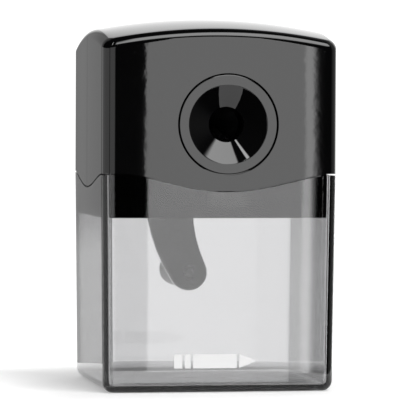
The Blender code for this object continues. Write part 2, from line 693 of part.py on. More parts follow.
def cutter_carrier():
    """A front plate that turns on the guide, a cone that backs the pencil, and a hub on the shaft."""
    collar = GUIDE_TUBE_RADIUS + RUNNING
    sleeve = PENCIL_RADIUS + CARRIER_PENCIL_GAP
    narrowing = (CARRIER_END_Y - CONE_START_Y) * math.tan(CONE_HALF_ANGLE)
    # Past the pencil's point, the hollow stays as wide as the gap round the pencil
    end_sleeve = max(sleeve - narrowing, CARRIER_PENCIL_GAP)
    profile = [
        (0.0, HUB_REAR_Y),
        (CARRIER_HUB_RADIUS, HUB_REAR_Y),
        (CARRIER_HUB_RADIUS, HUB_FRONT_Y),
        (CARRIER_END_RADIUS, HUB_FRONT_Y),
        (CARRIER_END_RADIUS, CARRIER_END_Y),
        (end_sleeve + 2 * CARRIER_SLEEVE_WALL, CARRIER_END_Y),
        (sleeve + CARRIER_SLEEVE_WALL, CONE_START_Y),
        (collar + CARRIER_SLEEVE_WALL, PLATE_REAR_Y),
        (PLATE_RADIUS, PLATE_REAR_Y),
        (PLATE_RADIUS, CARRIER_FRONT_Y),
        (collar, CARRIER_FRONT_Y),
        (collar, PLATE_REAR_Y),
        (sleeve, CONE_START_Y),
        (end_sleeve, CARRIER_END_Y),
        (0.0, CARRIER_END_Y),
    ]
    carrier = turned("cutter_carrier", profile, MATT_BLACK)
    sweep = rod("cutter_sweep", SWEEP_RADIUS, FRONT_SEAT_S, REAR_SEAT_S, None, ON_CUTTER, ROUND_STEPS)
    pin_low = FRONT_SEAT_S - 2 * CARRIER_PLATE_THICKNESS
    pin_high = REAR_SEAT_S + CUTTER_PIN_REAR + FIT
    half = DRIVE_SQUARE / 2 + FIT
    socket_low = (-half, HUB_FRONT_Y, AXIS_Z - half)
    socket_high = (half, HUB_REAR_Y + OVERSHOOT, AXIS_Z + half)
    cut(carrier, sweep)
    cut(carrier, rod("pin_bore", CUTTER_PIN_RADIUS + FIT, pin_low, pin_high, None, ON_CUTTER))
    cut(carrier, block("drive_socket", socket_low, socket_high, BESIDE_MIDDLE))


# Crank


def square_bar(name, side, front, rear):
    low, high = (-side / 2, front, AXIS_Z - side / 2), (side / 2, rear, AXIS_Z + side / 2)
    return block(name, low, high, BESIDE_MIDDLE)


def crank_shaft():
    """A round shaft with a groove for the clip, a square at each end and a tapped rear end."""
    groove = SHAFT_RADIUS - CLIP_GROOVE_DEPTH
    groove_rear = CLIP_REAR_Y + RUNNING
    shoulder = ARM_FRONT_Y - FIT
    profile = [
        (0.0, shoulder),
        (SHAFT_RADIUS, shoulder),
        (SHAFT_RADIUS, groove_rear),
        (groove, groove_rear),
        (groove, CLIP_FRONT_Y - RUNNING),
        (0.0, CLIP_FRONT_Y - RUNNING),
    ]
    shaft = turned("crank_shaft", profile, STEEL, steps=SMALL_STEPS)
    end = ARM_WEB_Y - FIT
    join(shaft, square_bar("drive_end", DRIVE_SQUARE, HUB_FRONT_Y + FIT, CLIP_REAR_Y))
    join(shaft, square_bar("arm_end", ARM_SQUARE, shoulder - OVERSHOOT, end))
    hole_front = ARM_WEB_Y - CRANK_SCREW_GRIP - FIT
    hole = rod("tapped_hole", CRANK_SCREW_RADIUS + FIT, hole_front, end + OVERSHOOT, steps=BOLT_STEPS)
    cut(shaft, hole)


def shaft_fittings():
    """The bush in the rear wall, the washer outside it, and the spring clip that holds the carrier on."""
    inner = SHAFT_RADIUS + RUNNING
    profile = [
        (inner, BUSH_REAR_Y),
        (BUSH_FLANGE_RADIUS, BUSH_REAR_Y),
        (BUSH_FLANGE_RADIUS, BUSH_FLANGE_Y),
        (BUSH_RADIUS, BUSH_FLANGE_Y),
        (BUSH_RADIUS, BUSH_FRONT_Y),
        (inner, BUSH_FRONT_Y),
    ]
    turned("rear_bush", profile, MATT_BLACK, steps=SMALL_STEPS)
    washer_rear = SHAFT_WASHER_Y + SHAFT_WASHER_THICKNESS
    tube("shaft_washer", SHAFT_RADIUS + FIT, SHAFT_WASHER_RADIUS, SHAFT_WASHER_Y, washer_rear, STEEL)
    clip_inner = SHAFT_RADIUS - CLIP_GROOVE_DEPTH + FIT
    clip = tube("shaft_clip", clip_inner, CLIP_RADIUS, CLIP_FRONT_Y, CLIP_REAR_Y, STEEL)
    half = clip_inner * CLIP_MOUTH_SHARE
    mouth_low = (-half, CLIP_FRONT_Y - OVERSHOOT, AXIS_Z)
    mouth_high = (half, CLIP_REAR_Y + OVERSHOOT, AXIS_Z + CLIP_RADIUS + OVERSHOOT)
    cut(clip, block("clip_mouth", mouth_low, mouth_high, BESIDE_MIDDLE))


def arm_outline():
    """The arm in plan, x across and y down: it tapers along an arc that bows to -X, with round ends."""
    reach = CRANK_RADIUS / 2
    bend = (reach**2 + ARM_BOW**2) / (2 * ARM_BOW)
    swing = math.asin(reach / bend)
    centre = Vector((bend - ARM_BOW, reach))

    def edge(share, side):
        half = ARM_HUB_RADIUS + (ARM_END_RADIUS - ARM_HUB_RADIUS) * share
        angle = swing * (1 - 2 * share)
        return centre - (bend + side * half) * Vector((math.cos(angle), math.sin(angle)))

    def cap(middle, radius, start):
        angles = [start - math.pi * i / ARM_STEPS for i in range(1, ARM_STEPS)]
        return [middle + radius * Vector((math.cos(angle), math.sin(angle))) for angle in angles]

    shares = [i / ARM_STEPS for i in range(ARM_STEPS + 1)]
    outer = [edge(share, 1) for share in shares]
    inner = [edge(share, -1) for share in reversed(shares)]
    end = cap(Vector((0, CRANK_RADIUS)), ARM_END_RADIUS, math.pi - swing)
    hub = cap(Vector((0, 0)), ARM_HUB_RADIUS, swing)
    return outer + end + inner + hub


def flat_plate(name, points, low, high, surface, place):
    """A closed flat outline as a curve, extruded from low to high and made a mesh."""
    curve = bpy.data.curves.new(name, "CURVE")
    curve.dimensions = "2D"
    curve.fill_mode = "BOTH"
    curve.extrude = (high - low) / 2
    spline = curve.splines.new("POLY")
    spline.points.add(len(points) - 1)
    for target, (x, y) in zip(spline.points, points):
        target.co = (x, y, 0, 1)
    spline.use_cyclic_u = True
    drawn = bpy.data.objects.new(name + "_outline", curve)
    bpy.context.scene.collection.objects.link(drawn)
    graph = bpy.context.evaluated_depsgraph_get()
    filled = bpy.data.meshes.new_from_object(drawn.evaluated_get(graph))
    bpy.data.objects.remove(drawn)
    shape = bmesh.new()
    shape.from_mesh(filled)
    bmesh.ops.remove_doubles(shape, verts=shape.verts, dist=0.00001)
    bmesh.ops.dissolve_limit(shape, angle_limit=math.radians(1), verts=shape.verts, edges=shape.edges)
    return from_bmesh(name, shape, surface, place @ Matrix.Translation((0, 0, (low + high) / 2)))


def crank_arm():
    arm = flat_plate("crank_arm", arm_outline(), ARM_FRONT_Y, ARM_REAR_Y, GLOSS_BLACK, ON_CRANK)
    bevel = arm.modifiers.new("rounded edges", "BEVEL")
    bevel.width = ARM_EDGE
    bevel.segments = 2
    bevel.angle_limit = math.radians(60)
    front, rear = ARM_FRONT_Y - OVERSHOOT, ARM_REAR_Y + OVERSHOOT
    recess = CRANK_SCREW_HEAD_RADIUS + FIT
    cut(arm, square_bar("arm_socket", ARM_SQUARE + 2 * FIT, front, ARM_WEB_Y))
    cut(arm, rod("crank_screw_way", CRANK_SCREW_RADIUS + FIT, front, rear, steps=BOLT_STEPS))
    cut(arm, rod("crank_screw_recess", recess, ARM_RECESS_Y, rear))
    cut(arm, rod("knob_pin_hole", KNOB_PIN_RADIUS + FIT, front, rear, None, ON_KNOB))


def crank_knob():
    """A round handle, wider at its free end, with a recess for the head of its pin."""
    bore, recess = KNOB_PIN_RADIUS + RUNNING, KNOB_PIN_HEAD_RADIUS + FIT
    profile = [
        (bore, KNOB_RECESS_Y),
        (recess, KNOB_RECESS_Y),
        (recess, KNOB_REAR_Y),
        (KNOB_END_RADIUS - KNOB_EDGE, KNOB_REAR_Y),
        (KNOB_END_RADIUS, KNOB_REAR_Y - KNOB_EDGE),
        (KNOB_BASE_RADIUS, KNOB_FRONT_Y + KNOB_EDGE),
        (KNOB_BASE_RADIUS - KNOB_EDGE, KNOB_FRONT_Y),
        (bore, KNOB_FRONT_Y),
    ]
    turned("crank_knob", profile, GREY_PLASTIC, ON_KNOB)


def knob_pin():
    head = KNOB_RECESS_Y + FIT
    top = head + KNOB_PIN_HEAD_THICKNESS
    start = ARM_FRONT_Y + FIT
    profile = [
        (0.0, top),
        (KNOB_PIN_HEAD_RADIUS, top),
        (KNOB_PIN_HEAD_RADIUS, head),
        (KNOB_PIN_RADIUS, head),
        (KNOB_PIN_RADIUS, start),
        (0.0, start),
    ]
    turned("knob_pin", profile, STEEL, ON_KNOB, SMALL_STEPS)


# Fasteners


def slotted_screw(name, place, radius, head_radius, length):
    """The head's underside is at local Z 0, its shank runs up and its slotted head hangs down."""
    head = SCREW_HEAD_THICKNESS
    profile = [
        (0.0, length),
        (radius, length),
        (radius, 0.0),
        (head_radius, 0.0),
        (head_radius, -head),
        (0.0, -head),
    ]
    made = turned(name, profile, STEEL, place, BOLT_STEPS)
    low = (-2 * head_radius, -SCREW_SLOT / 2, -2 * head)
    high = (2 * head_radius, SCREW_SLOT / 2, -head / 2)
    cut(made, block(name + "_slot", low, high, place))


def screws():
    frame_length = FRAME_THICKNESS + FRAME_SCREW_GRIP
    for half, side in (("front", -1), ("rear", 1)):
        for hand, (x, y) in zip(("left", "right"), frame_screw_places(side)):
            place = Matrix.Translation((x, y, BRIDGE_BOTTOM_Z - FIT))
            name = f"frame_screw_{half}_{hand}"
            slotted_screw(name, place, SCREW_RADIUS, SCREW_HEAD_RADIUS, frame_length)
    lug_length = FIT + LUG_THICKNESS + FRAME_THICKNESS
    for hand, side in (("left", -1), ("right", 1)):
        place = Matrix.Translation((AXIS_X + side * LUG_X, LUG_REAR_Y + FIT, AXIS_Z)) @ FACING_FRONT
        slotted_screw(f"ring_screw_{hand}", place, SCREW_RADIUS, SCREW_HEAD_RADIUS, lug_length)
    place = Matrix.Translation((AXIS_X, ARM_RECESS_Y + FIT, AXIS_Z)) @ FACING_FRONT
    crank_length = FIT + ARM_WEB + CRANK_SCREW_GRIP
    slotted_screw("crank_screw", place, CRANK_SCREW_RADIUS, CRANK_SCREW_HEAD_RADIUS, crank_length)


front_housing()
rear_housing()
shavings_container()
pencil_guide()
mechanism_frame()
ring_gear()
cutter_pinion()
helical_cutter()
cutter_pin_and_washers()
cutter_carrier()
crank_shaft()
shaft_fittings()
crank_arm()
crank_knob()
knob_pin()
screws()
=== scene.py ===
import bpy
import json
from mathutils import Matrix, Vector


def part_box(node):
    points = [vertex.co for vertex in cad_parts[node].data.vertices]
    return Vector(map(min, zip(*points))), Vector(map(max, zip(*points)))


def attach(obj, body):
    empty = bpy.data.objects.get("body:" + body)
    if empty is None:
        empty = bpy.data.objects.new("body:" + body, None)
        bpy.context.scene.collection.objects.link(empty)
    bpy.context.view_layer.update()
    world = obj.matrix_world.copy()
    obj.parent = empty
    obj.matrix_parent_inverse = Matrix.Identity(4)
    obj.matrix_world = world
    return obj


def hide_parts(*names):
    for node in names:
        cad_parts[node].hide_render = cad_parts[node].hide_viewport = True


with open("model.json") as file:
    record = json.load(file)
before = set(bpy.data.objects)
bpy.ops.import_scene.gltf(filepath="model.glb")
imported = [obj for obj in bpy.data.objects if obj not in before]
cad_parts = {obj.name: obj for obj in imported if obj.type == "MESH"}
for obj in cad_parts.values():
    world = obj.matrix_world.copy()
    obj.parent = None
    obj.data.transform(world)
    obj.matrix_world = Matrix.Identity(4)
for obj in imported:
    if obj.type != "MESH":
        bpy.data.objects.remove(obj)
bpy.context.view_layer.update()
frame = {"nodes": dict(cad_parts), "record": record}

# A small desk pencil sharpener with a crank: the looks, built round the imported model.
# X is right, Y runs from the pencil hole back to the crank, Z is up, all in metres.
import json
import math

import bmesh
import bpy
from mathutils import Matrix, Vector

joints = {joint["name"]: joint for joint in frame["record"]["behaviour"]["joints"]}
pencilAxis = Vector(joints["crank_turn"]["pos_m"])
knobAxis = Vector(joints["knob_turn"]["pos_m"])
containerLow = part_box("shavings_container")[0]
housingLow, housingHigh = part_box("front_housing")
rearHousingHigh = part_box("rear_housing")[1]
guideLow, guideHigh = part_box("pencil_guide")
knobLow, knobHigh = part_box("crank_knob")

touching = 1e-6                # points nearer than this are one point
bladeReach = 1e-7              # the same, for the cut that parts the two halves
standing = 0.001               # an edge that climbs more than this is an upright one

# The plan of the body, shared by the housing and the container
body = {
    "halfWidth": 0.0285,
    "halfDepth": 0.0260,
    "frontBow": 0.0004,
    "sideBow": 0.0003,
    "cornerRadius": 0.0027,
    "cornerSteps": 8,
    "sliceWidth": 0.0016,      # spacing of the cuts that let the roof and the seam bend
    "frontDip": 0.0040,        # how far the seam falls in the middle of the front and the back
    "sideDip": 0.0034,
    "dipReach": 0.0248,
    "dipSharpness": 1.45,
}


class Value:  # one socket, with Python's operators standing for Math nodes
    def __init__(self, maker, socket):
        self.maker = maker
        self.socket = socket

    def math(self, operation, first, second):
        return self.maker.add("Math", {"operation": operation}, {0: first, 1: second})

    def __add__(self, other):
        return self.math("ADD", self, other)

    def __radd__(self, other):
        return self.math("ADD", other, self)

    def __sub__(self, other):
        return self.math("SUBTRACT", self, other)

    def __rsub__(self, other):
        return self.math("SUBTRACT", other, self)

    def __mul__(self, other):
        return self.math("MULTIPLY", self, other)

    def __rmul__(self, other):
        return self.math("MULTIPLY", other, self)

    def __neg__(self):
        return self.math("MULTIPLY", self, -1.0)


class Nodes:  # makes the nodes of one material or world
    def __init__(self, tree):
        self.tree = tree
        tree.nodes.clear()

    def add(self, kind, settings=None, sockets=None, out=0):
        node = self.tree.nodes.new("ShaderNode" + kind)
        for key, setting in (settings or {}).items():
            setattr(node, key, setting)
        for key, value in (sockets or {}).items():
            self.feed(node.inputs[key], value)
        return Value(self, node.outputs[out]) if node.outputs else node

    def feed(self, socket, value):
        if isinstance(value, Value):
            self.tree.links.new(value.socket, socket)
        else:
            socket.default_value = value

    def part(self, vector, number):
        return self.add("SeparateXYZ", {}, {0: vector}, out=number)

    def blendColour(self, share, low, high):
        settings = {"data_type": "RGBA"}
        return self.add("Mix", settings, {0: share, 6: (*low, 1.0), 7: (*high, 1.0)}, out=2)

    def fade(self, value, start, end):
        settings = {"interpolation_type": "SMOOTHSTEP"}
        return self.add("MapRange", settings, {"Value": value, "From Min": start, "From Max": end})

    def noise(self, place, scale, detail, roughness=0.5):
        sockets = {"Vector": place, "Scale": scale, "Detail": detail, "Roughness": roughness}
        return self.add("TexNoise", {}, sockets)

    def bump(self, height, distance, strength):
        return self.add("Bump", {}, {"Height": height, "Distance": distance, "Strength": strength})


def newMaterial(name):
    material = bpy.data.materials.new(name)
    material.use_nodes = True
    return material, Nodes(material.node_tree)


def closeMaterial(nodes, sockets, volume=None):
    shader = nodes.add("BsdfPrincipled", {}, sockets)
    ends = {"Surface": shader}
    if volume:
        ends["Volume"] = volume
    nodes.add("OutputMaterial", {}, ends)


glossBlack = {
    "dark": (0.0018, 0.0018, 0.0020),
    "light": (0.0036, 0.0036, 0.0038),
    "ior": 1.5,
    "roughness": 0.012,        # where it is clean; smears and dust add to it
    "smearRoughness": 0.016,
    "dustRoughness": 0.12,
    "dustFrom": 0.72,
    "dustFull": 0.80,
    "skinDepth": 0.000004,
    "skinStrength": 0.35,
}


def makeGlossBlack():
    material, nodes = newMaterial("glossBlack")
    place = nodes.add("TexCoord", out=3)
    smear = nodes.noise(place, 55.0, 4.0, 0.6)       # faint handling marks
    specks = nodes.noise(place, 2600.0, 1.0)
    dust = nodes.fade(specks, glossBlack["dustFrom"], glossBlack["dustFull"])
    peel = nodes.noise(place, 420.0, 2.0)            # moulded skin, a little uneven
    smeared = glossBlack["roughness"] + smear * glossBlack["smearRoughness"]
    closeMaterial(nodes, {
        "Base Color": nodes.blendColour(smear, glossBlack["dark"], glossBlack["light"]),
        "Roughness": smeared + dust * glossBlack["dustRoughness"],
        "IOR": glossBlack["ior"],
        "Normal": nodes.bump(peel, glossBlack["skinDepth"], glossBlack["skinStrength"]),
    })
    return material


smokeClear = {
    "ior": 1.49,
    "absorption": 400.0,
    "tint": (0.20, 0.20, 0.21),
    "roughness": 0.004,        # where it is clearest
    "hazeRoughness": 0.016,
    "waveDepth": 0.00001,
    "waveStrength": 0.15,
}


def makeSmokeClear():
    material, nodes = newMaterial("smokeClear")
    place = nodes.add("TexCoord", out=3)
    haze = nodes.noise(place, 70.0, 3.0)
    flow = nodes.noise(place, 90.0, 1.0)             # slow waves left by the mould
    sockets = {"Color": (*smokeClear["tint"], 1.0), "Density": smokeClear["absorption"]}
    closeMaterial(nodes, {
        "Base Color": (1.0, 1.0, 1.0, 1.0),
        "Roughness": smokeClear["roughness"] + haze * smokeClear["hazeRoughness"],
        "IOR": smokeClear["ior"],
        "Transmission Weight": 1.0,
        "Normal": nodes.bump(flow, smokeClear["waveDepth"], smokeClear["waveStrength"]),
    }, nodes.add("VolumeAbsorption", {}, sockets))
    return material


moulded = {"mottle": 120.0, "mottleRoughness": 0.12, "grainDepth": 0.00003, "grainStrength": 0.5}


def makeMoulded(name, dark, light, roughness, grain):
    material, nodes = newMaterial(name)
    place = nodes.add("TexCoord", out=3)
    mottle = nodes.noise(place, moulded["mottle"], 4.0)
    spark = nodes.noise(place, grain, 2.0)           # fine spark-eroded grain
    closeMaterial(nodes, {
        "Base Color": nodes.blendColour(mottle, dark, light),
        "Roughness": roughness + mottle * moulded["mottleRoughness"],
        "Normal": nodes.bump(spark, moulded["grainDepth"], moulded["grainStrength"]),
    })
    return material


turned = {"stretch": 14.0, "lineRoughness": 0.18, "lineDepth": 0.00001, "lineStrength": 0.4}


def makeTurnedMetal(name, dark, light, roughness):
    material, nodes = newMaterial(name)
    place = nodes.add("TexCoord", out=3)
    stretched = nodes.add("Mapping", {}, {"Vector": place, "Scale": (1.0, turned["stretch"], 1.0)})
    lines = nodes.noise(stretched, 900.0, 3.0)       # tool marks across the axis
    stain = nodes.noise(place, 260.0, 4.0)
    closeMaterial(nodes, {
        "Base Color": nodes.blendColour(stain, dark, light),
        "Metallic": 1.0,
        "Roughness": roughness + lines * turned["lineRoughness"],
        "Normal": nodes.bump(lines, turned["lineDepth"], turned["lineStrength"]),
    })
    return material


finishes = {
    "gloss_black": makeGlossBlack(),
    "smoke_clear": makeSmokeClear(),
    "matt_black": makeMoulded("mattBlack", (0.010, 0.010, 0.011), (0.022, 0.022, 0.023), 0.42, 3000.0),
    "grey_plastic": makeMoulded("greyPlastic", (0.62, 0.62, 0.62), (0.72, 0.72, 0.72), 0.35, 3500.0),
    "white_plastic": makeMoulded("whitePlastic", (0.66, 0.65, 0.61), (0.76, 0.75, 0.71), 0.40, 2600.0),
    "steel": makeTurnedMetal("steel", (0.42, 0.42, 0.43), (0.60, 0.60, 0.61), 0.18),
    "white_ink": makeMoulded("whiteInk", (0.88, 0.88, 0.88), (0.94, 0.94, 0.94), 0.45, 3000.0),
    "bronze": makeTurnedMetal("bronze", (0.42, 0.27, 0.13), (0.60, 0.42, 0.22), 0.25),
}
print("finishes made:", len(finishes))


def allOf(bm):
    return bm.verts[:] + bm.edges[:] + bm.faces[:]


def roundEdges(bm, edges, radius, steps):
    bmesh.ops.bevel(
        bm, geom=edges, offset=radius, affect="EDGES", segments=steps, profile=0.5, material=-1,
    )


def toObject(name, bm, bodyName, slot, sharp=35.0):
    mesh = bpy.data.meshes.new(name)
    bm.to_mesh(mesh)
    bm.free()
    mesh.shade_smooth()
    mesh.set_sharp_from_angle(angle=math.radians(sharp))
    piece = bpy.data.objects.new(name, mesh)
    bpy.context.scene.collection.objects.link(piece)
    mesh.materials.append(finishes[slot])
    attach(piece, bodyName)
    return piece


def addModifier(piece, kind, **settings):
    modifier = piece.modifiers.new(kind.lower(), kind)
    for key, setting in settings.items():
        setattr(modifier, key, setting)
    return modifier


def bakeModifiers(piece):
    graph = bpy.context.evaluated_depsgraph_get()
    baked = bpy.data.meshes.new_from_object(piece.evaluated_get(graph))
    piece.modifiers.clear()
    piece.data = baked


def cutWith(piece, cutter):
    addModifier(piece, "BOOLEAN", operation="DIFFERENCE", solver="EXACT", object=cutter)
    bakeModifiers(piece)
    bpy.data.objects.remove(cutter)


def placedBox(bm, low, high):
    low, high = Vector(low), Vector(high)
    made = bmesh.ops.create_cube(bm, size=1.0)["verts"]
    bmesh.ops.scale(bm, vec=high - low, verts=made)
    bmesh.ops.translate(bm, vec=(low + high) / 2, verts=made)
    return made


def spunProfile(bm, profile, axis, steps):
    points = [bm.verts.new((axis.x + radius, y, axis.z)) for radius, y in profile]
    edges = [bm.edges.new(pair) for pair in zip(points, points[1:] + points[:1])]
    bmesh.ops.spin(
        bm, geom=points + edges, cent=axis, axis=(0, 1, 0), angle=2 * math.pi, steps=steps,
        use_merge=True, use_normal_flip=False,
    )
    bmesh.ops.remove_doubles(bm, verts=bm.verts, dist=touching)
    bmesh.ops.recalc_face_normals(bm, faces=bm.faces)


def seamDip(x, y):
    # The seam is lowest beside the middle of each face and level towards the corners
    onFront = body["halfDepth"] - abs(y) < body["halfWidth"] - abs(x)
    if onFront:
        away, depth = abs(x - pencilAxis.x) / body["dipReach"], body["frontDip"]
    else:
        away, depth = abs(y) / (body["halfDepth"] - body["cornerRadius"]), body["sideDip"]
    wave = max(math.cos(math.pi / 2 * min(away, 1.0)), 0.0)
    return depth * wave ** body["dipSharpness"]


def bowed(x, y, frontBow=body["frontBow"]):
    acrossX = 1 - (x / body["halfWidth"]) ** 2
    acrossY = 1 - (y / body["halfDepth"]) ** 2
    wideX = x * (1 + body["sideBow"] / body["halfWidth"] * acrossY)
    deepY = y * (1 + frontBow / body["halfDepth"] * acrossX)
    return wideX, deepY


def uprightEdges(bm):
    return [edge for edge in bm.edges if abs(edge.verts[0].co.z - edge.verts[1].co.z) > standing]


def levelWith(items, height):
    return [item for item in items if all(abs(v.co.z - height) < touching for v in item.verts)]


def cutSlices(bm, half):
    for reach, normal in ((half.x, Vector((1, 0, 0))), (half.y, Vector((0, 1, 0)))):
        count = int(2 * reach / body["sliceWidth"])
        for number in range(1, count):
            place = normal * (2 * reach * number / count - reach)
            bmesh.ops.bisect_plane(
                bm, geom=allOf(bm), dist=touching, plane_co=place, plane_no=normal,
            )


def keepHalf(bm, side):
    return bmesh.ops.bisect_plane(
        bm, geom=allOf(bm), dist=bladeReach, plane_co=(0, side * housing["partingGap"], 0),
        plane_no=(0, -side, 0), clear_outer=True,
    )["geom_cut"]


def bodyBlock(low, high, closedEnd, edgeRadius, edgeSteps):
    # A block with rounded upright corners, rounded at its closed end and open at the other
    bm = bmesh.new()
    half = Vector((body["halfWidth"], body["halfDepth"]))
    placedBox(bm, (-half.x, -half.y, low), (half.x, half.y, high))
    roundEdges(bm, uprightEdges(bm), body["cornerRadius"], body["cornerSteps"])
    openEnd = low if closedEnd == high else high
    roundEdges(bm, levelWith(bm.edges, closedEnd), edgeRadius, edgeSteps)
    lids = levelWith(bm.faces, openEnd)
    bmesh.ops.delete(bm, geom=lids, context="FACES_ONLY")
    cutSlices(bm, half)
    return bm


housing = {
    "wall": 0.0020,
    "riseAcross": 0.0030,
    "riseAlong": 0.0033,
    "edgeRadius": 0.00205,
    "edgeSteps": 7,
    "seamRound": 0.00022,
    "partingGap": 0.00009,
    "skirtInset": 0.00215,
    "skirtWall": 0.0015,
    "skirtCorner": 0.0007,
    "skirtCornerSteps": 4,
    "skirtBow": 0.00047,
    "skirtRound": 0.00015,
    "skirtBelowSeam": 0.0106,
    "skirtAboveSeam": 0.0012,
}
roofTop = max(housingHigh.z, rearHousingHigh.z)
roofCorner = roofTop - housing["riseAcross"] - housing["riseAlong"]
skirtLow = housingLow.z
seamTop = skirtLow + housing["skirtBelowSeam"]


def roofRise(x, y):
    across = housing["riseAcross"] * (1 - (x / body["halfWidth"]) ** 2)
    along = housing["riseAlong"] * (1 - (y / body["halfDepth"]) ** 2)
    return max(across, 0.0) + max(along, 0.0)


def housingShell(name, side):
    bm = bodyBlock(seamTop, roofCorner, roofCorner, housing["edgeRadius"], housing["edgeSteps"])
    wallHeight = roofCorner - housing["edgeRadius"] - seamTop
    for vert in bm.verts:
        x, y, z = vert.co
        share = min((z - seamTop) / wallHeight, 1.0)
        height = z + share * roofRise(x, y) - (1 - share) * seamDip(x, y)
        vert.co = (*bowed(x, y), height)
    keepHalf(bm, side)
    bmesh.ops.recalc_face_normals(bm, faces=bm.faces)
    shell = toObject(name, bm, "upper", "gloss_black")
    addModifier(shell, "SOLIDIFY", thickness=housing["wall"], offset=-1.0, use_even_offset=True)
    bakeModifiers(shell)
    return shell


def finishEdges(piece, width, steps=2, angle=50.0):
    addModifier(
        piece, "BEVEL", width=width, segments=steps, limit_method="ANGLE",
        angle_limit=math.radians(angle), harden_normals=False, use_clamp_overlap=True,
    )
    addModifier(piece, "WEIGHTED_NORMAL", keep_sharp=False, weight=60)


mouth = {
    "gap": 0.00034,            # thin dark ring round the guide's flange
    "cutDepth": 0.012,
    "steps": 96,
}


def cutMouth(shell):
    bm = bmesh.new()
    radius = guideHigh.x - pencilAxis.x + mouth["gap"]
    place = Matrix.Translation((pencilAxis.x, housingLow.y, pencilAxis.z))
    bmesh.ops.create_cone(
        bm, cap_ends=True, segments=mouth["steps"], radius1=radius, radius2=radius,
        depth=mouth["cutDepth"], matrix=place @ Matrix.Rotation(math.pi / 2, 4, "X"),
    )
    cutWith(shell, toObject("mouth_cutter", bm, "upper", "gloss_black"))


frontShell = housingShell("front_shell", -1)
cutMouth(frontShell)
finishEdges(frontShell, housing["seamRound"])
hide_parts("front_housing")

rearShell = housingShell("rear_shell", 1)
finishEdges(rearShell, housing["seamRound"])
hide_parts("rear_housing")
print("housing halves made")

latch = {
    "width": 0.0094,
    "low": 0.0028,
    "height": 0.0036,
    "proud": 0.0006,
    "round": 0.00045,
    "bead": 0.0013,
    "beadProud": 0.00085,
    "beadRound": 0.0005,
    "roundSteps": 3,
    "sunk": 0.0005,            # how far each pad reaches into the skirt
    "channelGap": 0.0002,
    "channelDepth": 0.0006,    # cut into the inside of the clear wall, round each latch
}


def addLatch(bm, side, wall):
    # A flat pad with a bead along its lower edge, standing out of the skirt
    low = skirtLow + latch["low"]
    for proud, high, edgeRadius in (
        (latch["proud"], low + latch["height"], latch["round"]),
        (latch["beadProud"], low + latch["bead"], latch["beadRound"]),
    ):
        near, far = sorted((wall + side * proud, wall - side * latch["sunk"]))
        made = placedBox(
            bm, (pencilAxis.x - latch["width"] / 2, near, low),
            (pencilAxis.x + latch["width"] / 2, far, high),
        )
        edges = {edge for vert in made for edge in vert.link_edges}
        roundEdges(bm, list(edges), edgeRadius, latch["roundSteps"])


def skirtHalf(name, side):
    bm = bmesh.new()
    inset = housing["skirtInset"]
    half = Vector((body["halfWidth"] - inset, body["halfDepth"] - inset))
    top = seamTop + housing["skirtAboveSeam"]
    plate = bmesh.ops.create_grid(bm, x_segments=1, y_segments=1, size=1.0)["verts"]
    bmesh.ops.scale(bm, vec=(half.x, half.y, 1), verts=plate)
    bmesh.ops.translate(bm, vec=(0, 0, skirtLow), verts=plate)
    middle = bm.faces[:]
    bmesh.ops.inset_region(
        bm, faces=middle, thickness=housing["skirtWall"], use_even_offset=True,
        use_boundary=True,
    )
    bmesh.ops.delete(bm, geom=middle, context="FACES")
    raised = bmesh.ops.extrude_face_region(bm, geom=bm.faces[:], use_keep_orig=True)["geom"]
    moved = [item for item in raised if isinstance(item, bmesh.types.BMVert)]
    bmesh.ops.translate(bm, vec=(0, 0, top - skirtLow), verts=moved)
    bmesh.ops.recalc_face_normals(bm, faces=bm.faces)
    roundEdges(bm, uprightEdges(bm), housing["skirtCorner"], housing["skirtCornerSteps"])
    cutSlices(bm, half)
    for vert in bm.verts:
        x, y, z = vert.co
        vert.co = (*bowed(x, y, housing["skirtBow"]), z)
    rim = [item for item in keepHalf(bm, side) if isinstance(item, bmesh.types.BMEdge)]
    bmesh.ops.holes_fill(bm, edges=rim, sides=0)
    addLatch(bm, side, side * (half.y + housing["skirtBow"] * half.y / body["halfDepth"]))
    skirt = toObject(name, bm, "upper", "gloss_black")
    finishEdges(skirt, housing["skirtRound"])


for name, side in (("front_skirt", -1), ("rear_skirt", 1)):
    skirtHalf(name, side)
print("skirt made")


container = {
    "wall": 0.0018,
    "footRadius": 0.0024,
    "footSteps": 8,
    "draft": 0.0006,
    "rimRound": 0.00025,
    "rimBelowSeam": 0.00035,
}


def cutChannel(piece, wall):
    # A shallow channel inside the clear wall, where a latch of the skirt stands
    reach = latch["width"] / 2 + latch["channelGap"]
    near, far = sorted((wall - latch["channelDepth"], wall + latch["channelDepth"]))
    low = skirtLow + latch["low"] - latch["channelGap"]
    bm = bmesh.new()
    placedBox(
        bm, (pencilAxis.x - reach, near, low),
        (pencilAxis.x + reach, far, low + latch["height"] + 2 * latch["channelGap"]),
    )
    cutWith(piece, toObject("channel_cutter", bm, "container", "smoke_clear"))


def makeContainer():
    rim = seamTop - container["rimBelowSeam"]
    bm = bodyBlock(containerLow.z, rim, containerLow.z, container["footRadius"], container["footSteps"])
    for vert in bm.verts:
        x, y, z = vert.co
        share = min(max((z - container["footRadius"]) / (rim - container["footRadius"]), 0.0), 1.0)
        wideX, deepY = bowed(x, y)
        narrow = 1 - container["draft"] * (1 - z / rim) / body["halfWidth"]
        vert.co = (wideX * narrow, deepY * narrow, z - share * seamDip(x, y))
    bmesh.ops.recalc_face_normals(bm, faces=bm.faces)
    piece = toObject("clear_container", bm, "container", "smoke_clear")
    addModifier(piece, "SOLIDIFY", thickness=container["wall"], offset=-1.0, use_even_offset=True)
    bakeModifiers(piece)
    wall = body["halfDepth"] + body["frontBow"] - container["wall"]
    for side in (-1, 1):
        cutChannel(piece, side * wall)
    finishEdges(piece, container["rimRound"], steps=3, angle=60.0)
    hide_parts("shavings_container")


makeContainer()
print("container made")

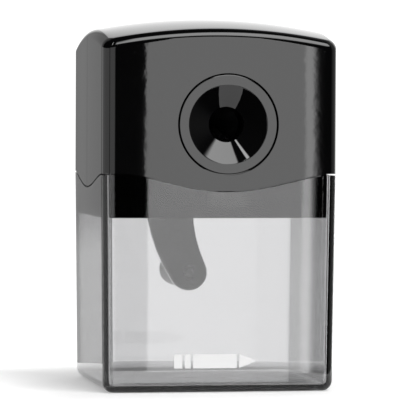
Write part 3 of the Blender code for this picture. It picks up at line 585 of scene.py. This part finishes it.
# A plain printed pencil, low on the front of the container
printed = {
    "left": -0.0112,
    "length": 0.0200,
    "height": 0.0034,
    "middle": 0.0076,          # height of its middle above the table
    "proud": 0.00005,
    "parts": ((0.0, 0.10), (0.13, 0.20), (0.23, 0.76)),     # start and end, as shares of its length
    "point": (0.79, 1.0),
    "sliceWidth": 0.0010,
}


def containerFront(x, z):
    rim = seamTop - container["rimBelowSeam"]
    narrow = 1 - container["draft"] * (1 - z / rim) / body["halfWidth"]
    return bowed(x / narrow, -body["halfDepth"])[1] * narrow


def makePrint():
    bm = bmesh.new()
    for start, end in (*printed["parts"], printed["point"]):
        made = bmesh.ops.create_grid(bm, x_segments=1, y_segments=1, size=0.5)["verts"]
        bmesh.ops.rotate(bm, verts=made, matrix=Matrix.Rotation(math.pi / 2, 3, "X"))
        size = Vector(((end - start) * printed["length"], 1, printed["height"]))
        bmesh.ops.scale(bm, vec=size, verts=made)
        if (start, end) == printed["point"]:
            tip = [vert for vert in made if vert.co.x > 0]
            bmesh.ops.pointmerge(bm, verts=tip, merge_co=(size.x / 2, 0, 0))
            made = [vert for vert in made if vert.is_valid]
        centre = (printed["left"] + (start + end) / 2 * printed["length"], 0, printed["middle"])
        bmesh.ops.translate(bm, vec=centre, verts=made)
    for number in range(1, int(printed["length"] / printed["sliceWidth"])):
        place = (printed["left"] + number * printed["sliceWidth"], 0, 0)
        bmesh.ops.bisect_plane(
            bm, geom=allOf(bm), dist=touching, plane_co=place, plane_no=(1, 0, 0),
        )
    raised = bmesh.ops.extrude_face_region(bm, geom=bm.faces[:], use_keep_orig=True)["geom"]
    outer = {item for item in raised if isinstance(item, bmesh.types.BMVert)}
    for vert in bm.verts:
        proud = printed["proud"] if vert in outer else printed["proud"] / 5
        vert.co.y = containerFront(vert.co.x, vert.co.z) - proud
    bmesh.ops.recalc_face_normals(bm, faces=bm.faces)
    # Its slot is a plastic's, and its look is that of ink
    piece = toObject("printed_pencil", bm, "container", "white_plastic")
    piece.data.materials[0] = finishes["white_ink"]


makePrint()
print("print made")


guide = {
    "flange": guideHigh.x - pencilAxis.x,
    "rim": 0.00955,
    "bore": 0.0042,
    "funnelDepth": 0.0031,
    "round": 0.00018,
    "flangeThickness": 0.0009,
    "neck": 0.0100,
    "neckEnd": 0.0040,         # depths behind the face, where the neck ends and the tube begins
    "tubeStart": 0.0062,
    "tubeWall": 0.0018,
    "steps": 128,
}


def makeGuide():
    face, flange, rim, bore = guideLow.y, guide["flange"], guide["rim"], guide["bore"]
    edge, tube = guide["round"], bore + guide["tubeWall"]
    profile = [
        (bore, guideHigh.y),
        (bore, face + guide["funnelDepth"] + edge),
        (bore + edge * 0.4, face + guide["funnelDepth"]),
        (rim - edge, face + edge * 0.7),
        (rim - edge * 0.3, face + edge * 0.15),
        (rim + edge * 0.4, face),
        (flange - edge, face),
        (flange - edge * 0.3, face + edge * 0.3),
        (flange, face + edge),
        (flange, face + guide["flangeThickness"]),
        (guide["neck"], face + guide["flangeThickness"]),
        (guide["neck"], face + guide["neckEnd"]),
        (tube, face + guide["tubeStart"]),
        (tube, guideHigh.y),
    ]
    bm = bmesh.new()
    spunProfile(bm, profile, Vector((pencilAxis.x, 0, pencilAxis.z)), guide["steps"])
    piece = toObject("funnel_guide", bm, "upper", "gloss_black", sharp=22.0)
    addModifier(piece, "WEIGHTED_NORMAL", keep_sharp=True, weight=80)
    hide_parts("pencil_guide")


makeGuide()
print("guide made")


knob = {
    "base": 0.0038,
    "end": 0.0043,
    "round": 0.0010,
    "bore": 0.0017,
    "recess": 0.0029,
    "recessDepth": 0.0022,
    "roundSteps": 5,
    "steps": 72,
}


def makeKnob():
    front, rear = knobLow.y, knobHigh.y
    curve, steps = knob["round"], knob["roundSteps"]
    floorOfRecess = rear - knob["recessDepth"]
    profile = [(knob["bore"], front), (knob["base"] - curve, front)]
    for number in range(1, steps + 1):
        turn = math.pi / 2 * number / steps
        out = knob["base"] - curve * (1 - math.sin(turn))
        profile.append((out, front + curve * (1 - math.cos(turn))))
    for number in range(steps + 1):
        turn = math.pi / 2 * number / steps
        out = knob["end"] - curve * (1 - math.cos(turn))
        profile.append((out, rear - curve * (1 - math.sin(turn))))
    profile += [
        (knob["recess"], rear),
        (knob["recess"], floorOfRecess),
        (knob["bore"], floorOfRecess),
    ]
    bm = bmesh.new()
    spunProfile(bm, profile, Vector((knobAxis.x, 0, knobAxis.z)), knob["steps"])
    piece = toObject("round_knob", bm, "knob", "grey_plastic", sharp=30.0)
    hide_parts("crank_knob")


makeKnob()
print("knob made")

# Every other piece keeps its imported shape, and gets smooth shading and its finish
slots = {part["node"]: part["material_slot"] for part in frame["record"]["subparts"]}
bodies = frame["record"]["behaviour"]["bodies"]
rebuilt = {"front_housing", "rear_housing", "shavings_container", "pencil_guide", "crank_knob"}
for bodyName, nodeNames in bodies.items():
    for nodeName in filter(lambda name: name not in rebuilt, nodeNames):
        bm = bmesh.new()
        bm.from_mesh(frame["nodes"][nodeName].data)
        bmesh.ops.remove_doubles(bm, verts=bm.verts, dist=2 * touching)
        piece = toObject(nodeName + "_smooth", bm, bodyName, slots[nodeName], sharp=30.0)
        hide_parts(nodeName)
print("other pieces made")


# The floor glows, and a contact shadow is painted into that glow round the foot
floor = {
    "radius": 0.075,
    "shade": 0.8,
    "speckle": 0.824,
    "glow": 1.05,              # painted glow, in place of the light that a bright studio floor gives back
    "footShade": 0.62,         # how much of it the painted shadow takes away beside the foot
    "underFoot": 0.0060,       # the painted shadow is full this far under the foot
    "footEdge": 0.0024,        # weaker from here outwards
    "shadowReach": 0.0600,     # and gone this far beside it
    "shadowRound": 0.0100,     # rounding of the painted shadow at the corners
}


def makeFloor():
    material, nodes = newMaterial("paleFloor")
    place = nodes.add("TexCoord", out=3)
    grain = nodes.noise(place, 40.0, 3.0)
    beside = []
    for number, reach in enumerate((body["halfWidth"], body["halfDepth"])):
        span = nodes.add("Math", {"operation": "ABSOLUTE"}, {0: nodes.part(place, number)})
        beside.append(span - reach)
    corners = {0: beside[0], 1: beside[1], 2: floor["shadowRound"]}
    away = nodes.add("Math", {"operation": "SMOOTH_MAX"}, corners)
    # Painted shadow: the glow is dimmed under and beside the foot by distance from the body's plan, not
    # by any light
    glowLeftByPaintedShadow = nodes.fade(away, -floor["underFoot"], -floor["footEdge"]) * (1 - floor["footShade"])
    glowLeftByPaintedShadow = glowLeftByPaintedShadow + nodes.fade(away, 0.0, floor["shadowReach"]) * floor["footShade"]
    closeMaterial(nodes, {
        "Base Color": nodes.blendColour(grain, (floor["shade"],) * 3, (floor["speckle"],) * 3),
        "Roughness": 0.9,
        "Emission Color": nodes.blendColour(glowLeftByPaintedShadow, (0.0, 0.0, 0.0), (1.0, 1.0, 1.0)),
        "Emission Strength": floor["glow"],
    })
    bm = bmesh.new()
    bmesh.ops.create_circle(bm, cap_ends=True, segments=96, radius=floor["radius"])
    mesh = bpy.data.meshes.new("floor")
    bm.to_mesh(mesh)
    bm.free()
    mesh.materials.append(material)
    made = bpy.data.objects.new("floor", mesh)
    bpy.context.scene.collection.objects.link(made)


# Soft boxes round the object, each as seen from it: degrees from straight ahead, or from straight
# behind, how soft each side is, how high it reaches, and its brightness
studio = [
    {   # tall box in front, a little to the right
        "from": "front", "sides": (6.8, 14.7), "soft": (0.15, 0.4),
        "heights": (-30, 24), "softHeight": 4, "level": 3.1,
    },
    {   # brighter strip at its right edge
        "from": "front", "sides": (14.2, 14.6), "soft": (0.2, 0.2),
        "heights": (-30, 24), "softHeight": 4, "level": 2.0,
    },
    {   # high box in front, from the middle to the right
        "from": "front", "sides": (-4, 60), "soft": (6, 8),
        "heights": (40, 70), "softHeight": 8, "level": 6.0,
    },
    {   # narrow high strip in front, to the left
        "from": "front", "sides": (-29, -24), "soft": (2, 2),
        "heights": (40, 64), "softHeight": 4, "level": 9.0,
    },
    {   # dim wall behind, on the left
        "from": "front", "sides": (-176, -125), "soft": (6, 12),
        "heights": (-40, 60), "softHeight": 20, "level": 0.34,
    },
    {   # more light on that wall, below eye level
        "from": "front", "sides": (-176, -125), "soft": (6, 12),
        "heights": (-40, -2.2), "softHeight": 1, "level": 0.26,
    },
    {   # bright band on the left, at the object's height
        "from": "front", "sides": (-142, -52), "soft": (14, 4),
        "heights": (-12, 7), "softHeight": 4, "level": 1.05,
    },
    {   # box in front, to the left, at the object's height
        "from": "front", "sides": (-33, 1), "soft": (6, 3),
        "heights": (-12, 12), "softHeight": 4, "level": 1.1,
    },
    {   # dim wall on the right
        "from": "front", "sides": (75, 176), "soft": (25, 6),
        "heights": (-40, 60), "softHeight": 20, "level": 0.35,
    },
    {   # bright wall behind, on the right, low down
        "from": "back", "sides": (-2, 60), "soft": (8, 20),
        "heights": (-30, 4.5), "softHeight": 4, "level": 1.65,
    },
    {   # the same wall higher up, less bright
        "from": "back", "sides": (-2, 60), "soft": (8, 20),
        "heights": (4.5, 42), "softHeight": 4, "level": 1.0,
    },
]
# Light from everywhere else, and what the camera sees behind the object
surround = {"level": 0.006, "background": 1.15}


def makeStudio():
    world = bpy.data.worlds.new("studio")
    bpy.context.scene.world = world
    world.use_nodes = True
    nodes = Nodes(world.node_tree)
    direction = nodes.add("TexCoord", out=0)
    right, back, up = (nodes.part(direction, number) for number in range(3))
    turn = {
        "front": nodes.add("Math", {"operation": "ARCTAN2"}, {0: right, 1: -back}),
        "back": nodes.add("Math", {"operation": "ARCTAN2"}, {0: right, 1: back}),
    }
    height = nodes.add("Math", {"operation": "ARCSINE"}, {0: up})
    light = surround["level"]
    for box in studio:
        start, end = map(math.radians, box["sides"])
        softStart, softEnd = map(math.radians, box["soft"])
        low, high = map(math.radians, box["heights"])
        soft = math.radians(box["softHeight"])
        across = turn[box["from"]]
        inside = nodes.fade(across, start - softStart / 2, start + softStart / 2)
        inside = inside * (1 - nodes.fade(across, end - softEnd / 2, end + softEnd / 2))
        inside = inside * nodes.fade(height, low - soft / 2, low + soft / 2)
        inside = inside * (1 - nodes.fade(height, high - soft / 2, high + soft / 2))
        light = light + inside * box["level"]
    seen = nodes.add("LightPath", out=0)
    strength = light * (1 - seen) + seen * surround["background"]
    glow = nodes.add("Background", {}, {"Color": (1.0, 1.0, 1.0, 1.0), "Strength": strength})
    nodes.add("OutputWorld", {}, {"Surface": glow})


camera = {
    "turn": -10.3,             # degrees to the right of straight in front, so this is to the left
    "distance": 0.730,
    "height": 0.0642,
    "lens": 264.6,
    "pan": -0.249,
    "tilt": -1.566,
    "roll": 0.25,
}


def makeCamera():
    data = bpy.data.cameras.new("camera")
    data.lens = camera["lens"]
    data.sensor_width = 36.0
    data.clip_start, data.clip_end = 0.01, 20.0
    made = bpy.data.objects.new("camera", data)
    turn = math.radians(camera["turn"])
    away = Vector((math.sin(turn), -math.cos(turn), 0)) * camera["distance"]
    made.location = Vector((0, housingLow.y, camera["height"])) + away
    aim = (
        Matrix.Rotation(turn - math.radians(camera["pan"]), 4, "Z")
        @ Matrix.Rotation(math.pi / 2 + math.radians(camera["tilt"]), 4, "X")
        @ Matrix.Rotation(math.radians(camera["roll"]), 4, "Z")
    )
    made.rotation_euler = aim.to_euler()
    bpy.context.scene.collection.objects.link(made)
    bpy.context.scene.camera = made


makeFloor()
makeStudio()
makeCamera()
bpy.context.scene.view_settings.view_transform = "Standard"
print("stage made")
